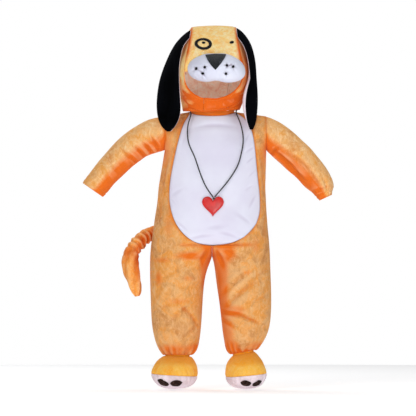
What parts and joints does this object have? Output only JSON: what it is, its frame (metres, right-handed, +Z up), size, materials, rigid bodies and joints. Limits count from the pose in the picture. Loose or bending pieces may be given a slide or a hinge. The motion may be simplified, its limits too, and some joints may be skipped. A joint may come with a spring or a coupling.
{
  "type": "dog costume",
  "caption": "Toddler's hooded plush dog jumpsuit, filled out with no wearer, with floppy ears, a muzzle, a tail, shoe covers and a cord necklace with a heart.",
  "frame": {"origin": "middle of the neck, where the wearer's neck and shoulders carry the costume", "axes": "+Z up, -Y the costume's front, +X the wearer's left"},
  "size_m": [0.6907, 0.2887, 0.9984],
  "materials": {
    "plush": "short orange pile",
    "white_satin": "smooth white knit",
    "sole_cloth": "smooth lilac-white cloth",
    "pad_felt": "dark brown felt",
    "nose_twill": "charcoal twill",
    "black_felt": "black felt",
    "black_plush": "black velvet pile",
    "ear_satin": "pale satin",
    "cord": "waxed black cord",
    "heart": "glossy red"
  },
  "bodies": {
    "root": {"front_r": "plush", "front_l": "plush", "back_r": "plush", "back_l": "plush", "belly_panel": "white_satin", "neck_binding": "plush", "sleeve_r": "plush", "sleeve_l": "plush", "foot_upper_r": "plush", "foot_upper_l": "plush", "sole_r": "sole_cloth", "sole_l": "sole_cloth", "toe_pad_r_1": "pad_felt", "toe_pad_r_2": "pad_felt", "toe_pad_l_1": "pad_felt", "toe_pad_l_2": "pad_felt", "hood_crown": "plush", "hood_side_r": "plush", "hood_side_l": "plush", "muzzle": "white_satin", "nose": "nose_twill", "whisker_dot_1": "black_felt", "whisker_dot_2": "black_felt", "whisker_dot_3": "black_felt", "whisker_dot_4": "black_felt", "whisker_dot_5": "black_felt", "whisker_dot_6": "black_felt", "eye_ring": "black_felt", "eye_r": "black_felt", "eye_l": "black_felt", "ear_outer_r": "black_plush", "ear_outer_l": "black_plush", "ear_lining_r": "ear_satin", "ear_lining_l": "ear_satin", "tail": "plush", "cord": "cord", "knot": "cord", "heart": "heart"}
  },
  "joints": []
}
